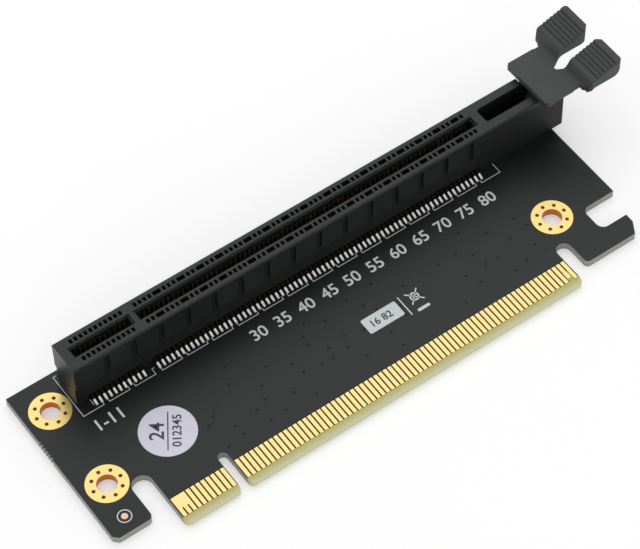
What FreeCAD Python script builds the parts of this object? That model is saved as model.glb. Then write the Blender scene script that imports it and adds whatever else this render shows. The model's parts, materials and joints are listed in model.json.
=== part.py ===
import FreeCAD, Part
import math
import os

from FreeCAD import Vector

# PCI Express x16 right-angle riser card, in millimetres.
# X runs along the card edge, with X = 0 on the centre line of the key notch.
# Y runs up the board from the tip of the card edge, and Z up from the back face,
# so the card lies flat on its back with the slot standing on its upper face.

# ---- circuit board -------------------------------------------------------------
board_thickness = 1.6
leg_width = 7.7              # left leg, outside the relief slot
board_beyond_foot = 1.5      # hooked foot to the board's right side
board_behind_slot = 5.6      # slot's centre plane to the board's rear edge

pitch = 1.0                  # contact pitch of the edge and of the slot
short_pins = 11              # contacts left of the key
long_pins = 71               # contacts right of the key
key_to_pin = 1.5             # key centre line to the nearest contact on each side
edge_margin = 0.6            # outermost contact to the side of the tab

key_width = 1.9
key_depth = 8.25
tab_corner = 0.9             # radius of the tab's corners at the card edge
bevel_length = 1.4
bevel_height = 0.45

leg_bottom = 4.35            # lower end of the left leg
leg_outer_cut = 0.9
leg_inner_radius = 1.0
left_slot_width = 3.9        # relief slot between leg and tab
left_slot_top = 12.6
right_slot_width = 3.0       # relief slot between tab and hooked foot
right_slot_top = 8.9

foot_bottom = 2.85           # hooked foot at the right of the tab
foot_reach = 12.3
foot_heel_radius = 0.9
foot_slant_run = 1.4
foot_slant_rise = 2.35
retention_floor = 7.05       # retention notch above the foot
retention_top = 12.6
retention_depth = 7.15
retention_radius = 1.5

bite_count = 6               # half holes left by the break-away tab
bite_radius = 0.28
bite_pitch = 0.8
bite_start = 24.1

# ---- copper, gold and label on the board ----------------------------------------
foil = 0.06                  # copper thickness over the laminate
finger_width = 0.7
finger_bottom = 1.45
finger_top = 5.6
finger_relief_top = 5.75
sense_finger_bottom = 2.1    # presence contacts are shorter
power_bridge_bottom = 3.05   # the three supply fingers join above this line
hole_radius = 1.85
hole_plating = 0.2
hole_pad_radius = 3.8
hole_from_left = 4.9         # the two left holes, from the board's left side
hole_past_slot = 1.2         # the right hole, past the right relief slot
hole_low = 14.4
hole_high = 32.4
label_x = -4.7
label_y = 17.1
label_radius = 5.15
label_thickness = 0.12

# ---- slot housing -----------------------------------------------------------------
slot_y = 33.4                # centre plane of the slot
housing_height = 11.25
housing_margin = 3.0         # housing end beyond its outermost contact
latch_bay = 16.7             # length of the open bay for the hooked foot and the latch
wall_half = 2.95             # outer wall to the centre plane
panel_proud = 0.45           # raised side panels over the wall
panel_bottom = 5.2
panel_pitch = 5.54
panel_gap = 1.2
panel_first_gap = 6.5        # centre of the first groove, from the housing's left end
rim_half = 3.5
rim_height = 0.9
edge_break = 0.25
card_half = 0.9              # half the width of the card opening
card_end_room = 0.4
key_wall = 1.5
mouth_flare = 0.3
mouth_depth = 0.5
card_floor = 3.0
chamber_half = 2.55
chamber_top = 9.2
chamber_end_room = 0.35
window_inner = 1.65
window_width = 0.6
undercut_height = 1.4

# differential pairs share one double window in each row
pairs_front = (14, 19, 23, 27, 33, 37, 41, 45, 50, 54, 58, 62, 66, 70, 74, 78)
pairs_rear = (16, 21, 25, 29, 35, 39, 43, 47, 52, 56, 60, 64, 68, 72, 76, 80)

# ---- contact springs ------------------------------------------------------------
contact_width = 0.45
contact_thickness = 0.3
tail_reach = 4.6             # toe of the solder tail to the centre plane
knee_offset = 2.2
knee_height = 1.0
tip_offset = 0.75            # the sprung tip reaches into the card opening
tip_height = 8.9

# ---- retention latch --------------------------------------------------------------
bay_half = 1.675             # half the width of the bay
bay_floor = 1.0
bay_corner = 0.6
bay_end_wall = 2.0           # wall between the card opening and the bay
cheek_length = 6.4           # cheeks beside the latch stand lower than the rim
cheek_drop = 0.9
latch_side_gap = 0.15
latch_top_gap = 0.5          # plate over the slot's rim
pivot_from_end = 3.0         # latch axis to the far end of the housing
pivot_height = 3.2
pivot_radius = 0.9
pivot_clearance = 0.05
pivot_depth = 1.0            # trunnion length in each cheek
blade_half = 1.5             # half the blade's length along X
blade_bottom = 1.6
blade_foot_cut = 0.5
hook_top = 8.8               # nose that holds the foot of the plugged card
hook_bottom = 6.9
hook_reach = 1.3
plate_thickness = 1.25
plate_half = 5.9
neck_half = 5.0
plate_overhang_left = 3.6    # plate edge to the pivot axis
plate_root = 1.5             # thick part of the plate ends here, before the blade's middle
arm_thickness = 0.95
arm_start = 4.0              # from the axis outwards
pad_start = 5.3
pad_length = 6.3
pad_low = 1.45               # underside of the pad above the plate's underside
pad_rise = 3.35              # top of the first rib above the plate's underside
pad_slope_rise = 1.9
pad_tip_thickness = 0.6
pad_half = 8.15
pad_gap_half = 1.35
pad_lead = 0.4               # the pad's flat underside starts this far behind its front
plate_cut = 0.4              # straight corner cuts of the plate and the pads
neck_radius = 0.7
shoulder_lead = 0.9          # pad shoulder ahead of the pad's front
shoulder_cut = 0.6
fork_cut = 0.8               # inner corner cut at the tip of each pad
fork_lead = 0.6              # round end of the gap between the pads
fork_radius = 1.5
fork_end = 1.2               # narrow end of the fork, before the arms
fork_end_half = 0.35
fork_end_cut = 0.25
rib_count = 6
rib_depth = 0.32
rib_land = 0.75
groove_dip = 0.2             # deepest and far side of a groove, in shares of the rib pitch
groove_end = 0.4
curve_steps = 4              # straight pieces in each curve of the latch's side

cut_margin = 1.0             # how far a cutting body runs past what it cuts

board_top = board_thickness
housing_top = board_top + housing_height
short_first = -key_to_pin - (short_pins - 1) * pitch
long_last = key_to_pin + (long_pins - 1) * pitch
tab_left = short_first - edge_margin
tab_right = long_last + edge_margin
leg_right = tab_left - left_slot_width
board_left = leg_right - leg_width
foot_left = tab_right + right_slot_width
foot_right = foot_left + foot_reach
board_right = foot_right + board_beyond_foot
board_rear = slot_y + board_behind_slot
housing_left = short_first - housing_margin
housing_plain_end = long_last + housing_margin
housing_right = housing_plain_end + latch_bay
bay_left = long_last + card_end_room + edge_margin + bay_end_wall
pivot_x = housing_right - pivot_from_end
pivot_z = board_top + pivot_height


def pin_x(number):
    """Centre of a contact: 1 to 11 left of the key, 12 to 82 right of it."""
    if number <= short_pins:
        return short_first + (number - 1) * pitch
    return key_to_pin + (number - short_pins - 1) * pitch


def box(x0, x1, y0, y1, z0, z1):
    return Part.makeBox(x1 - x0, y1 - y0, z1 - z0, Vector(x0, y0, z0))


def cylinder_z(x, y, radius, z0, z1):
    return Part.makeCylinder(radius, z1 - z0, Vector(x, y, z0))


def hexagon_z(x, y, radius, z0, z1):
    corners = [Vector(x + radius * math.cos(i * math.pi / 3), y + radius * math.sin(i * math.pi / 3), z0)
               for i in range(6)]
    return Part.Face(Part.makePolygon(corners + corners[:1])).extrude(Vector(0, 0, z1 - z0))


def rounded_face(corners):
    """Flat outline in XY from (x, y, radius) corners.

    A radius of 0 leaves the corner sharp, and a negative one cuts it straight by that length.
    """
    arcs = []
    count = len(corners)
    for i, (x, y, radius) in enumerate(corners):
        here = Vector(x, y, 0)
        before = Vector(corners[i - 1][0], corners[i - 1][1], 0) - here
        after = Vector(corners[(i + 1) % count][0], corners[(i + 1) % count][1], 0) - here
        before.normalize()
        after.normalize()
        if radius <= 0:
            arcs.append((here - before * radius, None, here - after * radius))
            continue
        half = before.getAngle(after) / 2
        reach = radius / math.tan(half)
        middle = before + after
        middle.normalize()
        centre = here + middle * (radius / math.sin(half))
        arcs.append((here + before * reach, centre - middle * radius, here + after * reach))
    edges = []
    for i, (start, crown, end) in enumerate(arcs):
        if crown:
            edges.append(Part.Arc(start, crown, end).toShape())
        elif (end - start).Length > 1e-6:
            edges.append(Part.LineSegment(start, end).toShape())
        following = arcs[(i + 1) % count][0]
        if (following - end).Length > 1e-6:
            edges.append(Part.LineSegment(end, following).toShape())
    return Part.Face(Part.Wire(edges))


def prism_z(corners, z0, z1):
    face = rounded_face(corners)
    face.translate(Vector(0, 0, z0))
    return face.extrude(Vector(0, 0, z1 - z0))


def prism_x(profile, x0, x1):
    """Closed (y, z) profile extruded along X."""
    points = [Vector(x0, y, z) for y, z in profile]
    wire = Part.makePolygon(points + points[:1])
    return Part.Face(wire).extrude(Vector(x1 - x0, 0, 0))


def prism_y(profile, y0, y1):
    """Closed (x, z) profile extruded along Y."""
    points = [Vector(x, y0, z) for x, z in profile]
    wire = Part.makePolygon(points + points[:1])
    return Part.Face(wire).extrude(Vector(0, y1 - y0, 0))


# ---- circuit board -------------------------------------------------------------
def hole_centres():
    left = board_left + hole_from_left
    return [(left, hole_high), (left, hole_low), (foot_left + hole_past_slot, hole_low)]


def board_outline():
    key = key_width / 2
    notch_left = board_right - retention_depth
    return [
        (board_left, board_rear, 0),
        (board_left, leg_bottom, -leg_outer_cut),
        (leg_right, leg_bottom, leg_inner_radius),
        (leg_right, left_slot_top, left_slot_width / 2),
        (tab_left, left_slot_top, left_slot_width / 2),
        (tab_left, 0, tab_corner),
        (-key, 0, tab_corner),
        (-key, key_depth, key),
        (key, key_depth, key),
        (key, 0, tab_corner),
        (tab_right, 0, tab_corner),
        (tab_right, right_slot_top, right_slot_width / 2),
        (foot_left, right_slot_top, right_slot_width / 2),
        (foot_left, foot_bottom, foot_heel_radius),
        (foot_right - foot_slant_run, foot_bottom, 0),
        (foot_right, foot_bottom + foot_slant_rise, 0),
        (foot_right, retention_floor, 0),
        (notch_left, retention_floor, retention_radius),
        (notch_left, retention_top, retention_radius),
        (board_right, retention_top, 0),
        (board_right, board_rear, 0),
    ]


def circuit_board():
    board = prism_z(board_outline(), 0, board_top)
    cuts = []
    for x, y in hole_centres():
        cuts.append(cylinder_z(x, y, hole_radius + hole_plating, 0, board_top))
    for i in range(bite_count):
        cuts.append(hexagon_z(board_left, bite_start + i * bite_pitch, bite_radius, 0, board_top))
    cuts.append(box(tab_left, tab_right, 0, finger_relief_top, board_top - foil, board_top))
    cuts.append(box(tab_left, tab_right, 0, finger_relief_top, 0, foil))
    for face, inward in ((board_top - foil, -1), (foil, 1)):
        wedge = [(0, face), (bevel_length, face), (0, face + inward * bevel_height)]
        cuts.append(prism_x(wedge, tab_left, tab_right))
    return board.cut(cuts)


def finger(number, low, z0):
    x = pin_x(number)
    half = finger_width / 2
    return box(x - half, x + half, low, finger_top, z0, z0 + foil)


def supply_fingers(first, last, z0):
    """Supply fingers are parted at the tip and run together above it."""
    half = finger_width / 2
    joined = box(pin_x(first) - half, pin_x(last) + half, finger_bottom, finger_top, z0, z0 + foil)
    slits = []
    for number in range(first, last):
        slits.append(box(pin_x(number) + half, pin_x(number + 1) - half,
                         finger_bottom, power_bridge_bottom, z0, z0 + foil))
    return joined.cut(slits)


def finger_nodes():
    """Solids of each group of gold fingers, under the name of its node."""
    front = board_top - foil
    last = short_pins + long_pins
    long_row = range(short_pins + 1, last + 1)
    return {
        "supply_finger_front": [supply_fingers(1, 3, front)],
        "edge_fingers_front_short": [finger(n, finger_bottom, front) for n in range(4, short_pins + 1)],
        "edge_fingers_front_long": [finger(n, finger_bottom, front) for n in long_row if n != last - 1],
        "presence_finger_front": [finger(last - 1, sense_finger_bottom, front)],
        "presence_finger_back": [finger(1, sense_finger_bottom, 0)],
        "supply_finger_back": [supply_fingers(2, 3, 0)],
        "edge_fingers_back_short": [finger(n, finger_bottom, 0) for n in range(4, short_pins + 1)],
        "edge_fingers_back_long": [finger(n, finger_bottom, 0) for n in long_row],
    }


def hole_plating_ring(x, y):
    """Copper barrel through the board with the round pad of the front face, in one piece."""
    outer = hole_radius + hole_plating
    profile = [(hole_radius, 0), (outer, 0), (outer, board_top), (hole_pad_radius, board_top),
               (hole_pad_radius, board_top + foil), (hole_radius, board_top + foil)]
    points = [Vector(r, 0, z) for r, z in profile]
    ring = Part.Face(Part.makePolygon(points + points[:1]))
    ring = ring.revolve(Vector(0, 0, 0), Vector(0, 0, 1), 360)
    ring.translate(Vector(x, y, 0))
    return ring


# ---- slot housing -----------------------------------------------------------------
def section_span(short):
    """X range of the card opening left or right of the key."""
    if short:
        return short_first - edge_margin - card_end_room, -key_wall / 2
    return key_wall / 2, long_last + edge_margin + card_end_room


def windows(row_pairs):
    """(first, last) contact of each window: one contact, or two for a differential pair.

    No pair straddles the key or runs past the last contact.
    """
    row_end = short_pins + long_pins
    spans = []
    number = 1
    while number <= row_end:
        wide = number in row_pairs and number not in (short_pins, row_end)
        spans.append((number, number + 1 if wide else number))
        number = spans[-1][1] + 1
    return spans


def card_opening(short):
    x0, x1 = section_span(short)
    mouth_low = housing_top - mouth_depth
    flare = [(-card_half, mouth_low), (card_half, mouth_low),
             (card_half + mouth_flare, housing_top), (-card_half - mouth_flare, housing_top)]
    flare = [(slot_y + y, z) for y, z in flare]
    chamber_low = board_top + card_floor
    chamber_x0 = x0 + chamber_end_room
    chamber_x1 = x1 - chamber_end_room
    cuts = [
        box(x0, x1, slot_y - card_half, slot_y + card_half, chamber_low, housing_top),
        prism_x(flare, x0 - mouth_flare, x1 + mouth_flare),
        box(chamber_x0, chamber_x1, slot_y - chamber_half, slot_y + chamber_half,
            chamber_low, board_top + chamber_top),
    ]
    for side in (-1, 1):
        near = slot_y + side * window_inner
        far = slot_y + side * chamber_half
        outside = slot_y + side * rim_half
        cuts.append(box(chamber_x0, chamber_x1, min(near, far), max(near, far),
                        board_top, chamber_low))
        cuts.append(box(chamber_x0, chamber_x1, min(near, outside), max(near, outside),
                        board_top, board_top + undercut_height))
    return cuts


def window_cuts():
    cuts = []
    for side, pairs in ((-1, pairs_front), (1, pairs_rear)):
        near = slot_y + side * window_inner
        far = slot_y + side * chamber_half
        for first, last in windows(pairs):
            cuts.append(box(pin_x(first) - window_width / 2, pin_x(last) + window_width / 2,
                            min(near, far), max(near, far), board_top + chamber_top, housing_top))
    return cuts


def side_panels():
    """Raised panels between the grooves of both long walls."""
    edges = [housing_left]
    gap = housing_left + panel_first_gap
    while gap < housing_plain_end - panel_gap:
        edges += [gap - panel_gap / 2, gap + panel_gap / 2]
        gap += panel_pitch
    edges.append(housing_plain_end)
    half = wall_half + panel_proud
    low = board_top + panel_bottom
    high = housing_top - rim_height
    return [box(a, b, slot_y - half, slot_y + half, low, high)
            for a, b in zip(edges[::2], edges[1::2])]


def latch_bay_cuts():
    """Open-ended bay with a blind socket in each cheek for the latch's trunnions."""
    end = housing_right + bay_corner * 2
    low = board_top + bay_floor
    bay = prism_z([(bay_left, slot_y - bay_half, bay_corner), (end, slot_y - bay_half, 0),
                   (end, slot_y + bay_half, 0), (bay_left, slot_y + bay_half, bay_corner)],
                  low, housing_top)
    socket_half = bay_half - latch_side_gap + pivot_depth + pivot_clearance
    socket = Part.makeCylinder(pivot_radius + pivot_clearance, 2 * socket_half,
                               Vector(pivot_x, slot_y - socket_half, pivot_z), Vector(0, 1, 0))
    lowered = box(housing_right - cheek_length, housing_right, slot_y - rim_half, slot_y + rim_half,
                  housing_top - cheek_drop, housing_top)
    return [bay, socket, lowered]


def slot_housing():
    wall = [(slot_y - wall_half, board_top), (slot_y + wall_half, board_top),
            (slot_y + wall_half, housing_top - rim_height),
            (slot_y + rim_half, housing_top - rim_height),
            (slot_y + rim_half, housing_top - edge_break),
            (slot_y + rim_half - edge_break, housing_top),
            (slot_y - rim_half + edge_break, housing_top),
            (slot_y - rim_half, housing_top - edge_break),
            (slot_y - rim_half, housing_top - rim_height),
            (slot_y - wall_half, housing_top - rim_height)]
    body = prism_x(wall, housing_left, housing_right)
    body = body.fuse(side_panels())
    cuts = card_opening(True) + card_opening(False) + window_cuts() + latch_bay_cuts()
    return body.cut(cuts).removeSplitter()


# ---- contact springs ------------------------------------------------------------
def contact_profile(side):
    """Bent strip in (y, z), full at its knee and thinner to the solder toe and the sprung tip."""
    half = contact_thickness / 2
    outline = [(tail_reach, 0), (knee_offset - half, knee_height - half),
               (tip_offset, tip_height), (knee_offset + half, knee_height + half)]
    return [(slot_y + side * y, board_top + z) for y, z in outline]


def contact_row(side, numbers):
    profile = contact_profile(side)
    half = contact_width / 2
    return [prism_x(profile, pin_x(n) - half, pin_x(n) + half) for n in numbers]


# ---- retention latch --------------------------------------------------------------
def s_curve(x0, z0, x1, z1):
    """Points of a smooth S from one end to the other, level at both ends."""
    shares = [i / curve_steps for i in range(curve_steps + 1)]
    return [(x0 + (x1 - x0) * t, z0 + (z1 - z0) * (1 - math.cos(math.pi * t)) / 2) for t in shares]


def quarter_curve(x0, z0, x1, z1):
    """Points of a quarter ellipse, upright at its first end and level at its last."""
    angles = [math.pi / 2 * i / curve_steps for i in range(curve_steps + 1)]
    return [(x1 + (x0 - x1) * math.cos(a), z0 + (z1 - z0) * math.sin(a)) for a in angles]


def latch_side_profile():
    """Plate, rising arms and ribbed thumb pads seen from the side, in (x, z)."""
    low = housing_top + latch_top_gap
    top = low + plate_thickness
    arm_x = pivot_x + arm_start
    pad_x = pivot_x + pad_start
    tip_x = pad_x + pad_length
    ribs_x0 = pad_x + rib_land
    pitch_x = (tip_x - ribs_x0 - rib_land) / rib_count
    slope = pad_slope_rise / (tip_x - pad_x)
    arm_low = top - arm_thickness
    profile = [(pivot_x - plate_overhang_left, low), (pivot_x - plate_overhang_left, top)]
    profile += s_curve(arm_x, top, pad_x, low + pad_rise)
    for i in range(rib_count):
        x = ribs_x0 + i * pitch_x
        z = low + pad_rise + slope * (x - pad_x)
        profile += [(x, z), (x + pitch_x * groove_dip, z - rib_depth),
                    (x + pitch_x * groove_end, z + slope * pitch_x)]
    tip_z = low + pad_rise + pad_slope_rise
    profile.append((tip_x, tip_z))
    profile += quarter_curve(tip_x, tip_z - pad_tip_thickness, tip_x - pad_low, low + pad_low)
    profile += s_curve(pad_x + pad_lead, low + pad_low, arm_x, arm_low)
    profile += [(pivot_x - plate_root, arm_low), (pivot_x - plate_root, low)]
    return profile


def latch_plan():
    """Forked plan of the latch, both halves alike about the slot's centre plane."""
    left = pivot_x - plate_overhang_left
    arm_x = pivot_x + arm_start
    pad_x = pivot_x + pad_start
    tip_x = pad_x + pad_length
    upper = [(left, plate_half, -plate_cut), (arm_x - plate_cut, plate_half, -plate_cut),
             (arm_x + plate_cut / 2, neck_half, neck_radius),
             (pad_x - shoulder_lead, pad_half, -shoulder_cut),
             (tip_x, pad_half, -plate_cut), (tip_x, pad_gap_half, -fork_cut),
             (pad_x - fork_lead, pad_gap_half, fork_radius),
             (arm_x - fork_end, fork_end_half, -fork_end_cut)]
    lower = [(x, -y, r) for x, y, r in upper[::-1]]
    return [(x, slot_y + y, r) for x, y, r in upper + lower]


def retention_latch():
    profile = latch_side_profile()
    zs = [z for _, z in profile]
    top = prism_y(profile, slot_y - pad_half - cut_margin, slot_y + pad_half + cut_margin)
    top = top.common(prism_z(latch_plan(), min(zs) - cut_margin, max(zs) + cut_margin))
    blade_side = bay_half - latch_side_gap
    plate_low = housing_top + latch_top_gap
    blade = rounded_face([(-blade_half, board_top + blade_bottom, -blade_foot_cut),
                          (blade_half, board_top + blade_bottom, -blade_foot_cut),
                          (blade_half, plate_low + plate_thickness / 2, 0),
                          (-blade_half, plate_low + plate_thickness / 2, 0),
                          (-blade_half, board_top + hook_top, 0),
                          (-blade_half - hook_reach, board_top + hook_bottom, -blade_foot_cut / 2),
                          (-blade_half, board_top + hook_bottom, 0)])
    blade.rotate(Vector(0, 0, 0), Vector(1, 0, 0), 90)
    blade.translate(Vector(pivot_x, slot_y + blade_side, 0))
    blade = blade.extrude(Vector(0, -2 * blade_side, 0))
    trunnion_half = blade_side + pivot_depth
    trunnions = Part.makeCylinder(pivot_radius, 2 * trunnion_half,
                                  Vector(pivot_x, slot_y - trunnion_half, pivot_z),
                                  Vector(0, 1, 0))
    return top.fuse([blade, trunnions]).removeSplitter()


# ---- output -------------------------------------------------------------------------
def sub_parts():
    parts = {"circuit_board": [circuit_board()]}
    parts.update(finger_nodes())
    parts["plated_holes"] = [hole_plating_ring(x, y) for x, y in hole_centres()]
    parts["round_label"] = [cylinder_z(label_x, label_y, label_radius,
                                       board_top, board_top + label_thickness)]
    parts["slot_housing"] = [slot_housing()]
    short_numbers = range(1, short_pins + 1)
    long_numbers = range(short_pins + 1, short_pins + long_pins + 1)
    for row, side in (("front", -1), ("rear", 1)):
        parts["contacts_" + row + "_short"] = contact_row(side, short_numbers)
        parts["contacts_" + row + "_long"] = contact_row(side, long_numbers)
    parts["retention_latch"] = [retention_latch()]
    return parts


def main():
    os.makedirs("parts", exist_ok=True)
    for name, solids in sub_parts().items():
        shape = solids[0] if len(solids) == 1 else Part.makeCompound(solids)
        shape.exportStep("parts/" + name + ".step")
        print(name, len(shape.Solids), round(shape.Volume, 2), shape.isValid())


main()
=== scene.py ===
# %% [markdown]
# # A PCI Express riser card, modelled and finished in Blender
# The card lies on its back: a black circuit board with gold edge fingers, an upright black
# slot, and a grey latch that turns to free the plugged card. The solid parts come from the
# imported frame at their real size, so every place below is worked out from their boxes.

# %% Load the frame
import json
import math

import bmesh
import bpy
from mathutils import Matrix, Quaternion, Vector


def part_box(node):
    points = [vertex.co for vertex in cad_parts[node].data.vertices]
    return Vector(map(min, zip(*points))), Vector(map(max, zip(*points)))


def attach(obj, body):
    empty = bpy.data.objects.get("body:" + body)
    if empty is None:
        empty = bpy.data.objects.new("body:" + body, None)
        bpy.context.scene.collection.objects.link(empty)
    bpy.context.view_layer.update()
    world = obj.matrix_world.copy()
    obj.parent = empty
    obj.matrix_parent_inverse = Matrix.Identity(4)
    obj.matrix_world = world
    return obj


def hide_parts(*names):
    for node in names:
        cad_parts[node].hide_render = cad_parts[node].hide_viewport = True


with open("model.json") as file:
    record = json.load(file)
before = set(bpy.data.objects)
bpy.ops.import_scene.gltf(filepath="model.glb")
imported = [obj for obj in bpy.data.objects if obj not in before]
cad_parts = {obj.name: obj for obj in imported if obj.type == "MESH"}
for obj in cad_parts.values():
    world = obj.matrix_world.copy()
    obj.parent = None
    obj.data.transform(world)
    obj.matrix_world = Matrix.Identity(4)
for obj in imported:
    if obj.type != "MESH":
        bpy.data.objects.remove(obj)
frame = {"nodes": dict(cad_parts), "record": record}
for leftover in ("Cube", "Light", "Camera"):
    if leftover in bpy.data.objects:
        bpy.data.objects.remove(bpy.data.objects[leftover])
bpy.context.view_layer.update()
MM = 0.001

# %% [markdown]
# ## Measures shared by all pieces
# The faces of the board and the middle of the slot are read from the boxes of the solid parts,
# so the pieces follow if the frame changes. Each later piece hangs on these few values.

# %% Read the places of board and slot
board_low, board_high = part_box("circuit_board")
housing_low, housing_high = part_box("slot_housing")
board_top = board_high.z
slot_y = (housing_low.y + housing_high.y) / 2
print("board top:", round(board_top / MM, 3), "mm, slot middle:", round(slot_y / MM, 3), "mm")

# %% [markdown]
# ## Small helpers
# Operators act on whatever is selected, and loading the frame leaves its parts selected. So
# each helper first deselects all, then selects what it works on. `pick` selects by place or
# normal, which is how a hand-made selection is repeated in a script.

# %% Selecting
def only(piece):
    """Selects one object alone and makes it the active one."""
    bpy.ops.object.select_all(action="DESELECT")
    piece.select_set(True)
    bpy.context.view_layer.objects.active = piece


def pick(piece, kind, wanted):
    """Enters edit mode with the elements for which wanted(element) is true selected."""
    only(piece)
    bpy.ops.object.mode_set(mode="EDIT")
    bpy.ops.mesh.select_mode(type=kind)
    bpy.ops.mesh.select_all(action="DESELECT")
    shape = bmesh.from_edit_mesh(piece.data)
    group = {"VERT": shape.verts, "EDGE": shape.edges, "FACE": shape.faces}[kind]
    for element in group:
        element.select_set(wanted(element))
    bmesh.update_edit_mesh(piece.data)


def leave_edit():
    bpy.ops.object.mode_set(mode="OBJECT")


# %% Modifying and finishing a piece
def modify(piece, kind, **settings):
    """Adds one modifier, sets it and applies it."""
    only(piece)
    modifier = piece.modifiers.new(kind.title(), kind)
    for name, value in settings.items():
        setattr(modifier, name, value)
    bpy.ops.object.modifier_apply(modifier=modifier.name)


def settle(piece):
    """Moves the object's place, turn and size into its mesh."""
    only(piece)
    bpy.ops.object.transform_apply(location=True, rotation=True, scale=True)


def join(pieces):
    bpy.ops.object.select_all(action="DESELECT")
    for piece in pieces:
        piece.select_set(True)
    bpy.context.view_layer.objects.active = pieces[0]
    bpy.ops.object.join()
    return pieces[0]


def smooth(piece, degrees=35):
    only(piece)
    bpy.ops.object.shade_smooth_by_angle(angle=math.radians(degrees))


def finish_piece(piece, name, material, body="card"):
    """Names the piece, gives it its finish and ties it to the body that carries it."""
    settle(piece)
    piece.name = name
    piece.data.name = name
    piece.data.materials.clear()
    piece.data.materials.append(material)
    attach(piece, body)
    print(name, "faces:", len(piece.data.polygons))


# %% [markdown]
# ## Materials
# Every finish is a node tree on Object coordinates, which are metres in the card's own frame.
# `Finish` keeps the trees short: it scales the coordinates to millimetres and adds nodes. An
# area is a value that is 1 where a finish applies and 0 elsewhere.

# %% A short way to write node trees
class Finish:
    def __init__(self, name, **sockets):
        self.material = bpy.data.materials.new(name)
        self.material.use_nodes = True
        self.tree = self.material.node_tree
        self.shader = self.tree.nodes["Principled BSDF"]
        for socket, value in sockets.items():
            self.shader.inputs[socket.replace("_", " ")].default_value = value
        metres = self.node("ShaderNodeTexCoord").outputs["Object"]
        scaled = self.node("ShaderNodeVectorMath", {"operation": "SCALE"}, metres, Scale=1 / MM)
        self.place = scaled.outputs[0]
        self.axes = self.node("ShaderNodeSeparateXYZ", {}, self.place).outputs

    def node(self, kind, settings=None, *inputs, **named):
        """Adds a node with these settings, and feeds its inputs in order or by name."""
        made = self.tree.nodes.new(kind)
        for name, value in (settings or {}).items():
            setattr(made, name, value)
        for i, value in enumerate(inputs):
            self.feed(made.inputs[i], value)
        for name, value in named.items():
            self.feed(made.inputs[name.replace("_", " ")], value)
        return made

    def feed(self, socket, value):
        """Links a socket to another node's output, or sets its own value."""
        if isinstance(value, bpy.types.NodeSocket):
            self.tree.links.new(value, socket)
        else:
            socket.default_value = value

    def math(self, operation, a, b=0.0):
        return self.node("ShaderNodeMath", {"operation": operation}, a, b).outputs[0]

    def below(self, value, limit):
        return self.math("LESS_THAN", value, limit)

    def above(self, value, limit):
        return self.math("GREATER_THAN", value, limit)

    def both(self, a, b):
        return self.math("MULTIPLY", a, b)

    def either(self, a, b):
        return self.math("MAXIMUM", a, b)

    def between(self, value, low, high):
        return self.both(self.above(value, low), self.below(value, high))

    def noise(self, scale, detail=2.0, stretch=(1, 1, 1)):
        spread = self.node("ShaderNodeVectorMath", {"operation": "MULTIPLY"}, self.place, stretch)
        made = self.node("ShaderNodeTexNoise", {}, spread.outputs[0], Scale=scale, Detail=detail)
        return made.outputs["Fac"]

    def mix(self, factor, a, b):
        made = self.node("ShaderNodeMix", {"data_type": "RGBA"})
        for name, value in (("Factor", factor), ("A", a), ("B", b)):
            socket = next(s for s in made.inputs if s.name == name and s.enabled)
            self.feed(socket, value)
        return next(s for s in made.outputs if s.enabled)

    def span(self, value, low, high):
        """Spreads a 0 to 1 value over low to high."""
        return self.node("ShaderNodeMapRange", {}, value, 0.0, 1.0, low, high).outputs[0]

    def bump(self, height, depth_mm, strength):
        made = self.node("ShaderNodeBump", {}, Strength=strength, Distance=depth_mm * MM,
                         Height=height)
        self.feed(self.shader.inputs["Normal"], made.outputs[0])

    def colour(self, value):
        self.feed(self.shader.inputs["Base Color"], value)

    def roughness(self, value):
        self.feed(self.shader.inputs["Roughness"], value)

    def done(self):
        """Prints the size of the tree and returns its material."""
        print(self.material.name, "nodes:", len(self.tree.nodes))
        return self.material


# %% [markdown]
# ### Board
# One solid shows several finishes: satin black mask with dimples over its covered vias, pale
# routed glass cloth on the sides, brown gaps between the fingers, bare yellow laminate on the
# bevelled tip, and a gold ring round each hole of the underside, where the pad is level with
# the mask. A thin sheet could be laid on for each, but it would show an edge of its own. So
# one node tree tells them apart by height and by the distance from the card edge or a hole.

# %% Areas of the board, in millimetres
FOIL = 0.06 * MM          # thickness of the copper on the board's faces
PAD_RADIUS = 3.8 * MM     # of the gold ring round a mounting hole
HOLES = [mount["pos_m"] for mount in frame["record"]["mounts"] if mount["kind"] == "bore"]
finger_low, finger_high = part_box("edge_fingers_front_long")
foil = FOIL / MM
top = board_top / MM
finger_bottom = finger_low.y / MM
finger_top = finger_high.y / MM
finger_left = finger_low.x / MM
finger_right = finger_high.x / MM
VIA_SPREAD = 3.6          # mm between the covered vias, on average
VIA_DOT = 0.30            # mm, radius of the dimple over a covered via
VIA_MISSING = 0.4         # share of the places without a via
FINGERS_TO_VIAS = 1.0     # mm free of vias above the fingers
SLOT_TO_VIAS = 10.0       # mm free of vias in front of the slot's middle
GAP_OVERRUN = 0.15        # mm that the bare gaps reach past the fingers
PRESENCE_LEFT = 1.8       # mm from the row's right end, round its last finger but one,
PRESENCE_RIGHT = 0.75     # which feels whether the card is fully in and is shorter
PRESENCE_CUT = 2.0        # mm of bare laminate below that finger


def covered_vias(f):
    x, y, _ = f.axes
    cells = f.node("ShaderNodeTexVoronoi", {"voronoi_dimensions": "2D"}, f.place,
                   Scale=1 / VIA_SPREAD)
    chance = f.node("ShaderNodeSeparateXYZ", {}, cells.outputs["Color"]).outputs["X"]
    dot = f.below(cells.outputs["Distance"], VIA_DOT / VIA_SPREAD)
    routed = f.between(y, finger_top + FINGERS_TO_VIAS, slot_y / MM - SLOT_TO_VIAS)
    routed = f.both(routed, f.between(x, finger_left, finger_right))
    return f.both(f.both(dot, f.above(chance, VIA_MISSING)), routed)


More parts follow.
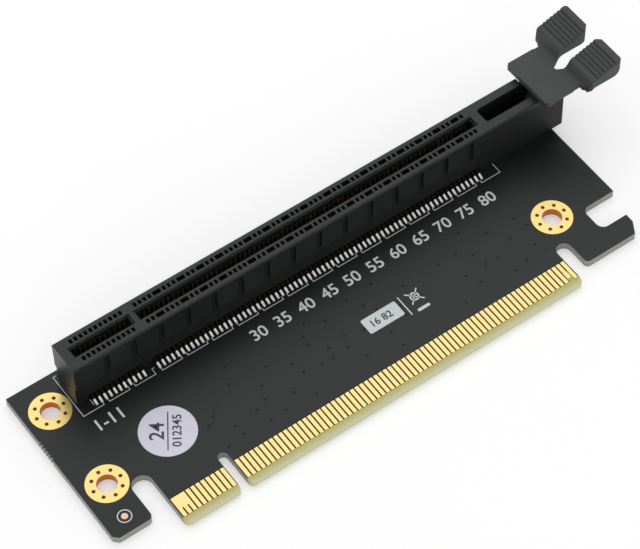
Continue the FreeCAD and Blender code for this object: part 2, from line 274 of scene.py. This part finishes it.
def back_pads(f):
    pad = 0.0
    for hole_x, hole_y, _ in HOLES:
        middle = (hole_x / MM, hole_y / MM, board_low.z / MM)
        away = f.node("ShaderNodeVectorMath", {"operation": "DISTANCE"}, f.place, middle)
        pad = f.either(pad, f.below(away.outputs["Value"], PAD_RADIUS / MM))
    return f.both(pad, f.below(f.axes["Z"], foil / 2))


def finger_gaps(f):
    """The tab's faces between the fingers, which lie a foil's thickness deeper than the mask."""
    _, y, z = f.axes
    tab = f.below(y, finger_top + GAP_OVERRUN)
    return f.both(tab, f.between(z, foil / 2, top - foil / 2))


def below_presence(f):
    x, y, _ = f.axes
    along = f.between(x, finger_right - PRESENCE_LEFT, finger_right - PRESENCE_RIGHT)
    return f.both(along, f.below(y, finger_bottom + PRESENCE_CUT))


print("holes:", len(HOLES), "fingers:", round(finger_bottom, 2), "to", round(finger_top, 2), "mm")

# %% Board finish
SIDE_MARGIN = 1.6 * foil  # mm from each face to the bare cloth of the sides
TIP_MARGIN = 0.02         # mm below the fingers, where the bevelled tip starts


def board_finish():
    f = Finish("solder_mask", IOR=1.5)
    _, y, z = f.axes
    via = covered_vias(f)
    mask = f.mix(f.noise(0.35, 3.0), (0.0055, 0.0085, 0.0080, 1), (0.0090, 0.0125, 0.0118, 1))
    # Painted shade: the mask is coloured darker at each covered via, for the shade of its dimple.
    mask = f.mix(via, mask, (0.0008, 0.0012, 0.0012, 1))
    cloth = f.mix(f.noise(2.2, 4.0, (1, 1, 5)), (0.24, 0.245, 0.235, 1), (0.58, 0.58, 0.55, 1))
    toward_edge = f.math("DIVIDE", f.math("SUBTRACT", finger_bottom, y), finger_bottom)
    bare = f.mix(toward_edge, (0.62, 0.57, 0.15, 1), (0.88, 0.87, 0.60, 1))
    fibres = f.span(f.noise(1.4, 4.0, (1, 0.4, 3)), 0.0, 0.35)
    bare = f.mix(fibres, bare, (0.50, 0.47, 0.22, 1))
    brown = f.mix(f.noise(3.0), (0.016, 0.010, 0.002, 1), (0.030, 0.021, 0.005, 1))
    gap = finger_gaps(f)
    side = f.between(z, SIDE_MARGIN, top - SIDE_MARGIN)
    tip = f.below(y, finger_bottom - TIP_MARGIN)
    pad = back_pads(f)
    colour = f.mix(gap, mask, f.mix(below_presence(f), brown, bare))
    colour = f.mix(side, colour, cloth)
    colour = f.mix(tip, colour, bare)
    f.colour(f.mix(pad, colour, (0.97, 0.75, 0.28, 1)))
    f.feed(f.shader.inputs["Metallic"], pad)
    dull = f.either(f.either(side, tip), f.either(gap, via))
    f.roughness(f.span(dull, 0.43, 0.62))
    dimpled = f.math("SUBTRACT", f.noise(9.0, 4.0), f.math("MULTIPLY", via, 3.0))
    f.bump(dimpled, 0.012, 0.5)
    return f.done()


board_mask = board_finish()

# %% [markdown]
# ### Metals
# Gold over nickel is a smooth pale metal with faint rub marks, and tinned solder is brighter
# and uneven. A spring changes along its length: its foot is tinned, its lead under the slot
# wall is painted near black as shade, and its arm inside the slot is dull gold, so one
# material mixes the three by height.

# %% Gold, copper and tin
def gold_finish():
    f = Finish("gold_plating", Metallic=1.0)
    worn = f.noise(2.5, 4.0, (6, 1, 1))
    f.colour(f.mix(worn, (0.95, 0.71, 0.26, 1), (1.0, 0.81, 0.38, 1)))
    f.roughness(f.span(worn, 0.24, 0.38))
    f.bump(f.noise(6.0, 3.0, (8, 1, 1)), 0.004, 0.4)
    return f.done()


def hole_finish():
    """Gold on the pad of the upper face, and orange-brown copper down the barrel under it."""
    f = Finish("hole_copper", Metallic=1.0)
    worn = f.noise(2.5, 4.0)
    pad = f.mix(worn, (0.95, 0.70, 0.23, 1), (1.0, 0.80, 0.33, 1))
    barrel = f.mix(worn, (0.46, 0.13, 0.025, 1), (0.62, 0.22, 0.05, 1))
    inside = f.between(f.axes["Z"], board_low.z / MM, top)
    f.colour(f.mix(inside, pad, barrel))
    f.roughness(f.span(worn, 0.24, 0.40))
    f.bump(f.noise(6.0, 3.0), 0.004, 0.4)
    return f.done()


def copper_finish():
    f = Finish("bare_copper", Metallic=1.0)
    dull = f.noise(4.0, 3.0)
    f.colour(f.mix(dull, (0.80, 0.50, 0.34, 1), (0.88, 0.62, 0.46, 1)))
    f.roughness(f.span(dull, 0.30, 0.45))
    return f.done()


def tin_finish():
    f = Finish("tinned_solder", Metallic=0.9)
    cloudy = f.noise(2.0, 3.0)
    f.colour(f.mix(cloudy, (0.90, 0.90, 0.88, 1), (0.99, 0.99, 0.97, 1)))
    f.roughness(f.span(cloudy, 0.20, 0.34))
    f.bump(f.noise(5.0), 0.02, 0.5)
    return f.done()


gold = gold_finish()
hole_copper = hole_finish()
copper = copper_finish()
tin = tin_finish()

# %% Spring strip
FOOT_TOP = 0.32   # mm above the board, where the tin of a foot ends
ARM_START = 2.0   # mm above the board, where the gold of the arm starts


def spring_finish():
    f = Finish("spring_strip", Metallic=1.0)
    height = f.math("SUBTRACT", f.axes["Z"], top)
    worn = f.noise(3.0, 3.0)
    # Painted shade: the lead is coloured near black for the shadow under the slot wall.
    lead = f.mix(worn, (0.008, 0.006, 0.004, 1), (0.030, 0.019, 0.010, 1))
    gold_arm = f.mix(worn, (0.60, 0.46, 0.30, 1), (0.88, 0.72, 0.50, 1))
    strip = f.mix(f.above(height, ARM_START), lead, gold_arm)
    f.colour(f.mix(f.below(height, FOOT_TOP), strip, (0.92, 0.91, 0.88, 1)))
    f.roughness(f.span(worn, 0.28, 0.45))
    f.bump(worn, 0.006, 0.4)
    return f.done()


spring = spring_finish()

# %% [markdown]
# ### Plastics, ink and label
# The slot is a glass-filled moulding, nearly black with a slight gloss and a fine flow grain.
# Its walls behind the raised panels were never polished, so they are duller, and their colour is
# painted darker as the shade in the recess. The latch is greyer and duller too. Ink is an opaque
# off-white, slightly patchy from the screen.

# %% Plastics
RECESS_HALF = 3.15        # mm from the slot's middle to just outside its recessed walls
RIM_HEIGHT = 1.0          # mm of the slot's rim, which is polished
END_MARGIN = 0.1          # mm at each end of the slot, which is polished too
RECESS_PAINTED_SHADE = 0.35       # the recess's painted shade, as a share of the plastic's dark colour
RECESS_DULL = 0.25        # what the recess adds to the roughness


def recessed(f):
    """The slot's walls behind its panels and inside its chamber, made duller and painted darker as
    shade.
    """
    x, y, z = f.axes
    deep = f.below(f.math("ABSOLUTE", f.math("SUBTRACT", y, slot_y / MM)), RECESS_HALF)
    under_rim = f.below(z, housing_high.z / MM - RIM_HEIGHT)
    along = f.between(x, housing_low.x / MM + END_MARGIN, housing_high.x / MM - END_MARGIN)
    return f.both(f.both(deep, under_rim), along)


def plastic_finish(name, dark, light, shine, dull_and_shaded_area=None):
    f = Finish(name, IOR=1.5)
    flow = f.noise(0.5, 4.0, (0.3, 1, 1))
    colour = f.mix(flow, dark, light)
    rough = f.span(f.noise(4.0, 3.0), shine, shine + 0.12)
    if dull_and_shaded_area:
        area = dull_and_shaded_area(f)
        # Painted shade: the recess is coloured darker for the shade that falls there.
        colour = f.mix(area, colour, [RECESS_PAINTED_SHADE * part for part in dark[:3]] + [1])
        rough = f.math("ADD", rough, f.math("MULTIPLY", area, RECESS_DULL))
    f.colour(colour)
    f.roughness(rough)
    f.bump(f.noise(14.0, 3.0), 0.010, 0.6)
    return f.done()


slot_plastic = plastic_finish("slot_plastic", (0.011, 0.015, 0.014, 1),
                              (0.017, 0.021, 0.020, 1), 0.36, recessed)
latch_plastic = plastic_finish("latch_plastic", (0.044, 0.054, 0.052, 1),
                               (0.058, 0.070, 0.067, 1), 0.50)


# %% Ink, label and resin
def ink_finish():
    f = Finish("legend_ink", IOR=1.45)
    patchy = f.noise(3.0, 4.0)
    f.colour(f.mix(patchy, (0.72, 0.77, 0.77, 1), (0.88, 0.92, 0.92, 1)))
    f.roughness(f.span(patchy, 0.45, 0.6))
    f.bump(f.noise(8.0), 0.01, 0.5)
    return f.done()


def film_finish(name, dark, light):
    f = Finish(name, IOR=1.45)
    cloudy = f.noise(0.6, 3.0)
    f.colour(f.mix(cloudy, dark, light))
    f.roughness(f.span(cloudy, 0.35, 0.5))
    f.bump(f.noise(5.0), 0.01, 0.4)
    return f.done()


ink = ink_finish()
label_film = film_finish("label_film", (0.82, 0.79, 0.94, 1), (0.92, 0.90, 1.0, 1))
label_ink = film_finish("label_ink", (0.050, 0.042, 0.085, 1), (0.075, 0.065, 0.120, 1))
via_resin = film_finish("via_resin", (0.080, 0.014, 0.004, 1), (0.140, 0.030, 0.008, 1))
dark_ink = film_finish("dark_ink", (0.030, 0.036, 0.036, 1), (0.045, 0.052, 0.052, 1))

# %% Dress the solid parts
FINISHES = {
    "circuit_board": board_mask,
    "slot_housing": slot_plastic,
    "retention_latch": latch_plastic,
    "round_label": label_film,
}
for node, part in frame["nodes"].items():
    chosen = FINISHES.get(node, spring if node.startswith("contacts") else gold)
    part.data.materials.clear()
    part.data.materials.append(chosen)
    print(node, "wears", chosen.name)

# %% [markdown]
# ## Latch with softened edges
# A moulded edge is never knife sharp, and a thumb feels it on the latch. The solid could be
# modelled again, but its ribs and fork are already right, so a copy is welded, remeshed into
# small even faces, cut clean at the inner corners behind the plate and smoothed, which melts
# every edge and rib by the same small amount. The slot keeps its solid: its rows of small
# windows are crisp, and its rim has its chamfer.

# %% Helpers for solid edits
def block(low, high):
    """A cube primitive scaled to the box between two corners, in metres."""
    low, high = Vector(low), Vector(high)
    bpy.ops.object.select_all(action="DESELECT")
    bpy.ops.mesh.primitive_cube_add(size=1, location=(low + high) / 2, scale=high - low)
    piece = bpy.context.active_object
    settle(piece)
    return piece


def cut(piece, cutter, operation="DIFFERENCE"):
    modify(piece, "BOOLEAN", operation=operation, object=cutter, solver="EXACT")
    bpy.data.objects.remove(cutter)


def weld(piece, gap):
    """Merges the vertices closer together than the gap, and turns every face outward."""
    pick(piece, "VERT", lambda vertex: True)
    bpy.ops.mesh.remove_doubles(threshold=gap)
    bpy.ops.mesh.normals_make_consistent(inside=False)
    leave_edit()


print("latch faces as packed:", len(frame["nodes"]["retention_latch"].data.polygons))

# %% Softened copy of the latch
VOXEL = 0.10 * MM
SMOOTH_PASSES = 3
PLATE_HALF = 5.9 * MM      # half the width of the latch's flat plate
SHOULDER_X = 7.72 * MM     # from the latch's left end to the shoulder of its pads
CORNER_LENGTH = 1.5 * MM   # of the cut along the plate's side, up to the shoulder
CORNER_START = PLATE_HALF - 0.15 * MM
CORNER_END = PLATE_HALF + 1.2 * MM

solid_latch = frame["nodes"]["retention_latch"]
latch_low, latch_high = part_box("retention_latch")
shoulder = latch_low.x + SHOULDER_X
latch = bpy.data.objects.new("latch_moulding", solid_latch.data.copy())
bpy.context.scene.collection.objects.link(latch)
weld(latch, 0.001 * MM)
modify(latch, "REMESH", mode="VOXEL", voxel_size=VOXEL)
for side in (-1, 1):
    near, far = sorted((slot_y + side * CORNER_START, slot_y + side * CORNER_END))
    cut(latch, block((shoulder - CORNER_LENGTH, near, latch_low.z), (shoulder, far, latch_high.z)))
modify(latch, "SMOOTH", factor=0.5, iterations=SMOOTH_PASSES)
smooth(latch, 180)
finish_piece(latch, "latch_moulding", latch_plastic, "latch")
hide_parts("retention_latch")

# %% [markdown]
# ## Contact springs
# A spring is a stamped strip: a foot soldered to the board, a lift under the slot wall and a
# long arm that leans into the slot and back into its groove in the wall. A curve with a bevel
# makes round wire, and this is flat, so a plane is extruded edge by edge along the path. Its
# bends are rounded, it gets its thickness, and an array repeats it at the contact pitch.

# %% Rows of contacts
PITCH = 1.0 * MM
CONTACT_WIDTH = 0.45 * MM
ROWS = {                  # each row's side of the slot, and how many springs it has
    "contacts_front_short": (-1, 11),
    "contacts_front_long": (-1, 71),
    "contacts_rear_short": (1, 11),
    "contacts_rear_long": (1, 71),
}


def first_pin(node):
    """X of the first contact in a row of springs."""
    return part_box(node)[0].x + CONTACT_WIDTH / 2


def repeat(piece, count, step):
    """Repeats the piece along x."""
    modify(piece, "ARRAY", count=count, use_relative_offset=False, use_constant_offset=True,
           constant_offset_displace=(step, 0, 0))


for node in ROWS:
    print(node, "starts at x =", round(first_pin(node) / MM, 2), "mm")

# %% Contact springs
STRIP = 0.18 * MM
BEND_OFFSET = 0.16 * MM
TOE = 4.6 * MM            # from the slot's middle to the end of a foot
SPRING_PATH = [           # mm from the slot's middle and above the board, from foot to tip
    (3.7, 0.13), (3.25, 0.85), (2.75, 1.10), (2.15, 1.12), (1.95, 3.0), (0.78, 8.0), (0.95, 9.9),
]
SPRING_PATH = [(offset * MM, height * MM) for offset, height in SPRING_PATH]


def spring_row(node, side, count):
    foot_end, foot_height = SPRING_PATH[0]
    middle = (first_pin(node), slot_y + side * (TOE + foot_end) / 2, board_top + foot_height)
    bpy.ops.object.select_all(action="DESELECT")
    bpy.ops.mesh.primitive_plane_add(size=1, location=middle)
    strip = bpy.context.active_object
    strip.scale = (CONTACT_WIDTH, TOE - foot_end, 1)
    settle(strip)
    inner = slot_y + side * foot_end
    pick(strip, "EDGE", lambda edge: all(abs(v.co.y - inner) < 0.01 * MM for v in edge.verts))
    for (y0, z0), (y1, z1) in zip(SPRING_PATH, SPRING_PATH[1:]):
        move = (0, side * (y1 - y0), z1 - z0)
        bpy.ops.mesh.extrude_region_move(TRANSFORM_OT_translate={"value": move})
    leave_edit()
    pick(strip, "EDGE", lambda edge: len(edge.link_faces) == 2)
    bpy.ops.mesh.bevel(offset=BEND_OFFSET, segments=3, affect="EDGES")
    bpy.ops.mesh.select_all(action="SELECT")
    bpy.ops.mesh.normals_make_consistent(inside=False)
    leave_edit()
    modify(strip, "SOLIDIFY", thickness=STRIP, offset=0, use_even_offset=True)
    repeat(strip, count, PITCH)
    smooth(strip)
    finish_piece(strip, node.replace("contacts", "springs"), spring)
    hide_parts(node)


for node, (side, count) in ROWS.items():
    spring_row(node, side, count)

# %% [markdown]
# ## Solder on the feet
# Each foot sits on a tinned land in a wedge of solder. A remesh would melt one well, but at
# hundreds of faces for each of 164 feet. So a cube's upright edges are rounded, its top is
# inset and lifted for a soft rim, and the top then climbs towards the lead, as solder does.

# %% Helpers for rounded edges
def upright(height):
    """Wants the edges that climb more than half of this height."""
    return lambda edge: abs(edge.verts[0].co.z - edge.verts[1].co.z) > height / 2


def bevel(piece, wanted, offset, segments):
    pick(piece, "EDGE", wanted)
    bpy.ops.mesh.bevel(offset=offset, segments=segments, affect="EDGES")
    leave_edit()


def shape_top(piece, inset, lift):
    """Insets the faces that look up and moves what is inside by lift."""
    pick(piece, "FACE", lambda face: face.normal.z > 0.9)
    bpy.ops.mesh.inset(thickness=inset)
    bpy.ops.transform.translate(value=(0, 0, lift))
    leave_edit()


print("feet to solder:", sum(count for _, count in ROWS.values()))

# %% Solder lands
LAND_WIDTH = 0.43 * MM
LAND_NEAR = 3.65 * MM     # from the slot's middle to the land's inner end
LAND_FAR = 4.72 * MM
LAND_HEIGHT = 0.08 * MM
LAND_CORNER = 0.12 * MM
RIM_INSET = 0.06 * MM
RIM_LIFT = 0.05 * MM
HEEL_RISE = 0.55 * MM     # what the top climbs from the toe to the lead


def solder_row(node, side, count):
    x = first_pin(node)
    toe = slot_y + side * LAND_FAR
    near, far = sorted((slot_y + side * LAND_NEAR, toe))
    land = block((x - LAND_WIDTH / 2, near, board_top),
                 (x + LAND_WIDTH / 2, far, board_top + LAND_HEIGHT))
    bevel(land, upright(LAND_HEIGHT), LAND_CORNER, 3)
    shape_top(land, RIM_INSET, RIM_LIFT)
    for corner in land.data.vertices:
        if corner.co.z > board_top + LAND_HEIGHT / 2:
            corner.co.z += HEEL_RISE * abs(corner.co.y - toe) / (LAND_FAR - LAND_NEAR)
    repeat(land, count, PITCH)
    smooth(land, 30)
    finish_piece(land, node.replace("contacts", "solder"), tin)


for node, (side, count) in ROWS.items():
    solder_row(node, side, count)

# %% [markdown]
# ## Plated holes
# Each mounting hole is a copper barrel with a gold pad on the upper face and eight small vias
# round it, filled with brown resin. Faces could be laid round each via by hand, but booleans
# do it at any place: the vias are cut from a disc, the barrel is joined to it, and the bore is
# cut last. The resin is a dished disc in each via, a little under the pad's face.

# %% Plated holes
HOLE_RADIUS = 1.85 * MM
BARREL_RADIUS = 2.05 * MM
BARREL_INSET = FOIL / 3   # what the barrel stays inside the board's underside
VIA_RADIUS = 0.36 * MM
VIA_CIRCLE = 2.7 * MM
VIA_COUNT = 8


def rod(x, y, radius, z0, z1, sides):
    """An upright cylinder primitive from height z0 to z1."""
    bpy.ops.object.select_all(action="DESELECT")
    bpy.ops.mesh.primitive_cylinder_add(vertices=sides, radius=radius, depth=z1 - z0,
                                        location=(x, y, (z0 + z1) / 2))
    piece = bpy.context.active_object
    settle(piece)
    return piece


def via_places(x, y):
    """The middles of the vias round a hole."""
    for i in range(VIA_COUNT):
        turn = i * math.tau / VIA_COUNT
        yield x + VIA_CIRCLE * math.cos(turn), y + VIA_CIRCLE * math.sin(turn)


def plated_hole(x, y):
    over = board_top + 2 * FOIL
    pad = rod(x, y, PAD_RADIUS, board_top, board_top + FOIL, 96)
    for via_x, via_y in via_places(x, y):
        cut(pad, rod(via_x, via_y, VIA_RADIUS, board_top - FOIL, over, 20))
    barrel = rod(x, y, BARREL_RADIUS, board_low.z + BARREL_INSET, board_top + FOIL / 2, 64)
    cut(pad, barrel, "UNION")
    cut(pad, rod(x, y, HOLE_RADIUS, board_low.z - 2 * FOIL, over, 64))
    return pad


hole_nodes = [node for node in frame["nodes"] if node.startswith("plated_hole")]
print("plated hole nodes:", hole_nodes)
rings = join([plated_hole(x, y) for x, y, _ in HOLES])
smooth(rings)
finish_piece(rings, "hole_plating", hole_copper)
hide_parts(*hole_nodes)

# %% Resin in the vias
PLUG_RADIUS = 0.98 * VIA_RADIUS
PLUG_INSET = 0.12 * MM
PLUG_DISH = FOIL / 5


def via_plug(x, y):
    """A thin disc with a dished top."""
    plug = rod(x, y, PLUG_RADIUS, board_top, board_top + FOIL / 3, 20)
    shape_top(plug, PLUG_INSET, -PLUG_DISH)
    return plug


plugs = [via_plug(*place) for x, y, _ in HOLES for place in via_places(x, y)]
finish_piece(join(plugs), "via_plugs", via_resin)

# %% [markdown]
# ## Printed legend
# The legend is screen-printed: flat off-white ink, a few hundredths of a millimetre high.
# A texture could carry it, but modelled ink stays sharp in close views and in the export.
# Lines with square corners are extruded from corner to corner, as a plotter would draw them.
# Figures start as text objects, which are then turned into meshes as thin as the ink.

# %% Tools for printed lines
INK = 0.03 * MM           # thickness of the print
LINE = 0.13 * MM          # width of a printed line


def facing(way, place, reach):
    """Wants the face that looks along way and has its middle within reach of place."""
    def wanted(face):
        centre = face.calc_center_median()
        level = Vector((centre.x, centre.y, 0))
        return face.normal.dot(way) > 0.9 and (level - place).length < reach
    return wanted


def trace(corners, width=LINE):
    """Prints a line with square corners through (x, y) places."""
    half = width / 2
    x, y = corners[0]
    line = block((x - half, y - half, board_top), (x + half, y + half, board_top + INK))
    for next_x, next_y in corners[1:]:
        here = Vector((x, y, 0))
        along = Vector((next_x, next_y, 0)) - here
        way = along.normalized()
        pick(line, "FACE", facing(way, here + way * half, half / 2))
        for step in (along - way * width, way * width):
            bpy.ops.mesh.extrude_region_move(TRANSFORM_OT_translate={"value": step})
        leave_edit()
        x, y = next_x, next_y
    return line


def stroke(start, end, width, base=board_top):
    """Prints a straight line in any direction, with rounded ends."""
    start, end = Vector(start), Vector(end)
    along = end - start
    half = width / 2
    line = block((-half, -half, 0), (along.length + half, half, INK))
    bevel(line, upright(INK), 0.45 * width, 3)
    line.location = (start.x, start.y, base)
    line.rotation_euler.z = math.atan2(along.y, along.x)
    settle(line)
    return line


print("ink:", INK / MM, "mm thick, lines:", LINE / MM, "mm wide")

# %% Tools for rings and figures
BOLDEN = 0.012            # what the outline of a figure grows by, before it is sized


def flat_ring(x, y, inner, outer):
    ring = rod(x, y, outer, board_top, board_top + INK, 48)
    cut(ring, rod(x, y, inner, board_top - INK, board_top + 2 * INK, 48))
    return ring


def numeral(words, x, y, height, turn=0.0, base=board_top):
    """Prints figures of a given height, centred on a place and turned by degrees."""
    bpy.ops.object.select_all(action="DESELECT")
    bpy.ops.object.text_add(location=(0, 0, 0))
    figures = bpy.context.active_object
    figures.data.body = words
    figures.data.align_x = "CENTER"
    figures.data.align_y = "CENTER"
    figures.data.resolution_u = 4
    figures.data.offset = BOLDEN
    figures.data.extrude = 0.5
    only(figures)
    bpy.ops.object.convert(target="MESH")
    figures = bpy.context.active_object
    only(figures)
    bpy.ops.object.origin_set(type="ORIGIN_GEOMETRY", center="BOUNDS")
    size = height / figures.dimensions.y
    figures.scale = (size, size, INK)
    figures.location = (x, y, base + INK / 2)
    figures.rotation_euler.z = math.radians(turn)
    settle(figures)
    weld(figures, 0.0005 * MM)
    return figures


print("a figure's outline grows by", BOLDEN, "of its text size")

# %% [markdown]
# ### Outline of the slot
# A broken line marks where the slot stands. Each bracket of the front line has a tick at both
# ends, and the same bracket repeats under the long row, so one is drawn and an array copies it.
# The others differ at one end: the first turns the slot's corner, the third has a step, and
# the last has a longer tick.

# %% Slot outline and first-contact mark
BRACKET = 4.2 * MM
BRACKET_STEP = 5.34 * MM
BRACKETS = 13
LEFT_GAP = 1.1 * MM       # between the first bracket and the second
CORNER_TICK = 0.5 * MM    # the short line that turns in at the rear left corner
JOG = 0.45 * MM           # at the end of the third bracket's stepped tick

row_start = first_pin("contacts_front_long")
short_start = first_pin("contacts_front_short")
front_line = slot_y - 5.3 * MM
tick_end = front_line + 0.6 * MM
stepped_end = front_line + 1.3 * MM
last_end = front_line + 2.2 * MM
rear_corner = slot_y + 4.6 * MM
left_x = housing_low.x - 0.22 * MM
second_x = left_x + BRACKET + LEFT_GAP
third_x = second_x + BRACKET_STEP
last_x = row_start + BRACKETS * BRACKET_STEP


def bracket(x, left_end=tick_end, right_end=tick_end):
    """Corners of a bracket on the front line, from its left tick's end to its right one's."""
    return [(x, left_end), (x, front_line), (x + BRACKET, front_line), (x + BRACKET, right_end)]


repeated = trace(bracket(row_start))
repeat(repeated, BRACKETS, BRACKET_STEP)
mark_x = short_start - 0.5 * MM
outline = join([
    repeated,
    trace([(left_x + CORNER_TICK, rear_corner)] + bracket(left_x, left_end=rear_corner)),
    trace(bracket(second_x)),
    trace(bracket(third_x, right_end=stepped_end) + [(third_x + BRACKET + JOG, stepped_end)]),
    trace(bracket(last_x, right_end=last_end)),
    trace([(mark_x, slot_y - 4.2 * MM), (mark_x, slot_y - 3.1 * MM)], 0.15 * MM),
])
finish_piece(outline, "slot_outline", ink)

# %% [markdown]
# ### Figures and marks
# Plain figures count the contacts: every fifth one along the slot, and the span of the short
# row. A white field holds two more in dark ink, with a thin rule and a target mark beside it.

# %% Contact figures
FIRST_LONG = 12           # number of the long row's first contact
FIGURE_HEIGHT = 2.4 * MM
figure_y = slot_y - 8.7 * MM
span_x = short_start + 0.1 * MM
span_y = slot_y - 8.3 * MM
counted = [numeral(str(number), row_start + (number - FIRST_LONG) * PITCH, figure_y, FIGURE_HEIGHT)
           for number in range(30, 81, 5)]
figures = join(counted + [numeral("1-11", span_x, span_y, FIGURE_HEIGHT)])
finish_piece(figures, "contact_figures", ink)

# %% White field, rule and target mark
FIELD_PLACE = Vector((58.8, 12.9)) * MM   # from the board's lower left corner
FIELD_SIZE = Vector((7.4, 3.4)) * MM
TARGET_REACH = 1.25 * MM                  # half the width of the target's cross
BAR_HALF = 1.0 * MM                       # half the length of the bar under it

field_low = Vector((board_low.x, board_low.y)) + FIELD_PLACE
field_high = field_low + FIELD_SIZE
field = block((*field_low, board_top), (*field_high, board_top + INK))
bevel(field, upright(INK), 0.35 * MM, 4)
rule_x = field_high.x + 0.9 * MM
rule = stroke((rule_x, field_low.y - 0.8 * MM), (rule_x, field_high.y + 0.2 * MM), 0.22 * MM)
target_x = rule_x + 2.6 * MM
target_y = field_low.y + 2.1 * MM
bar_y = field_low.y - 0.75 * MM
marks = [field, rule, flat_ring(target_x, target_y, 0.62 * MM, 0.92 * MM)]
for side in (-1, 1):
    marks.append(stroke((target_x - TARGET_REACH, target_y - side * TARGET_REACH),
                        (target_x + TARGET_REACH, target_y + side * TARGET_REACH), 0.24 * MM))
marks.append(stroke((target_x - BAR_HALF, bar_y), (target_x + BAR_HALF, bar_y), 0.6 * MM))
finish_piece(join(marks), "printed_marks", ink)

# %% Figures on the field
field_middle = (field_low + field_high) / 2
field_figures = numeral("16 82", field_middle.x - 0.2 * MM, field_middle.y, 1.5 * MM,
                        base=board_top + INK)
finish_piece(field_figures, "field_figures", dark_ink)

# %% [markdown]
# ### Label print
# The round label is read up the slope: a large figure above a rule and a small one below it.
# All three are placed along one direction, so turning that direction turns the whole print.

# %% Print on the round label
LABEL_TURN = 57           # degrees
label_low, label_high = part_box("round_label")
label_centre = ((label_low + label_high) / 2).xy
reading = Vector((math.cos(math.radians(LABEL_TURN)), math.sin(math.radians(LABEL_TURN))))
above = Vector((-reading.y, reading.x))
rule_half = reading * 3.8 * MM
large = label_centre + above * 1.95 * MM
small = label_centre - above * 1.55 * MM
label_print = join([
    stroke(label_centre - rule_half, label_centre + rule_half, 0.2 * MM, label_high.z),
    numeral("24", large.x, large.y, 2.6 * MM, LABEL_TURN, label_high.z),
    numeral("012345", small.x, small.y, 1.6 * MM, LABEL_TURN, label_high.z),
])
finish_piece(label_print, "label_print", label_ink)

# %% [markdown]
# ### Fiducial
# Assembly machines find the card by a bare copper dot inside a printed ring. The dot is a
# thin disc whose rim is rounded, as etched copper is under its finish.

# %% Fiducial dot and ring
DOT_RADIUS = 0.6 * MM
RING_INNER = 1.12 * MM
RING_OUTER = 1.31 * MM
dot_x = board_low.x + 3.85 * MM
dot_y = board_low.y + 7.35 * MM
dot = rod(dot_x, dot_y, DOT_RADIUS, board_top, board_top + INK, 32)
shape_top(dot, 0.08 * MM, 0.01 * MM)
smooth(dot, 60)
finish_piece(dot, "fiducial_dot", copper)
finish_piece(flat_ring(dot_x, dot_y, RING_INNER, RING_OUTER), "fiducial_ring", ink)

# %% [markdown]
# ## Camera, light and floor
# The camera looks down on the card from its lower left with a long lens. One large softbox
# hangs behind the card, where its upper faces mirror it, so the satin mask and the gold shine
# and the walls that face the camera stay dark. A dimmer white room fills the rest. The floor
# glows a little, only for the camera and for mirrors, so it looks white but lights nothing.

# %% Camera
EYE = Vector((-124.48, -208.78, 396.54)) * MM
LOOK = Vector((0.32174, 0.49527, -0.80696))
ROLL = math.radians(-2.58)
bpy.ops.object.camera_add(location=EYE)
camera = bpy.context.active_object
camera.rotation_mode = "QUATERNION"
camera.rotation_quaternion = LOOK.to_track_quat("-Z", "Y") @ Quaternion((0, 0, 1), ROLL)
camera.data.sensor_width = 36
camera.data.lens = 154.8
camera.data.shift_x = 0.0421
camera.data.shift_y = -0.0184
camera.data.clip_start = 0.01
bpy.context.scene.camera = camera
print("camera is", round((EYE - board_low).length, 3), "m from the card's corner")

# %% Floor
FLOOR_SIZE = 3.0          # metres
FLOOR_PLACE = Vector((0.03, 0.02, board_low.z - FOIL / 2))
FLOOR_LIFT = 0.30         # what the pale floor needs to look white to the camera

bpy.ops.object.select_all(action="DESELECT")
bpy.ops.mesh.primitive_plane_add(size=FLOOR_SIZE, location=FLOOR_PLACE)
floor = bpy.context.active_object
floor.name = "floor"
paper = Finish("floor_paper", Roughness=0.9)
paper.colour(paper.mix(paper.noise(0.02), (0.93, 0.93, 0.93, 1), (0.95, 0.95, 0.95, 1)))
rays = paper.node("ShaderNodeLightPath").outputs
seen = paper.either(rays["Is Camera Ray"], rays["Is Glossy Ray"])
seen = paper.either(seen, rays["Is Transmission Ray"])
paper.shader.inputs["Emission Color"].default_value = (1, 1, 1, 1)
paper.feed(paper.shader.inputs["Emission Strength"], paper.math("MULTIPLY", seen, FLOOR_LIFT))
floor.data.materials.append(paper.material)
print("floor at", round(FLOOR_PLACE.z / MM, 3), "mm")

# %% Room and softbox
ROOM_LEVEL = 0.62         # brightness of the white room, where 1 is white
SOFTBOX_SIZE = 1.4        # metres
SOFTBOX_WAY = Vector((0.32, 0.50, 0.81))
SOFTBOX_FAR = 1.2         # metres from the card
SOFTBOX_POWER = 3.3       # watts, which with the room makes its mirror image white

world = bpy.context.scene.world or bpy.data.worlds.new("World")
bpy.context.scene.world = world
world.use_nodes = True
room = world.node_tree.nodes["Background"].inputs
room["Color"].default_value = (1, 1, 1, 1)
room["Strength"].default_value = ROOM_LEVEL

card_middle = (board_low + board_high) / 2
softbox_place = card_middle + SOFTBOX_WAY * SOFTBOX_FAR
bpy.ops.object.light_add(type="AREA", location=softbox_place)
softbox = bpy.context.active_object
softbox.name = "softbox"
softbox.data.size = SOFTBOX_SIZE
softbox.data.energy = SOFTBOX_POWER
softbox.rotation_euler = (card_middle - softbox_place).to_track_quat("-Z", "Y").to_euler()
bpy.context.scene.view_settings.view_transform = "Standard"
print("softbox", SOFTBOX_SIZE, "m wide,", SOFTBOX_POWER, "W; room level", ROOM_LEVEL)
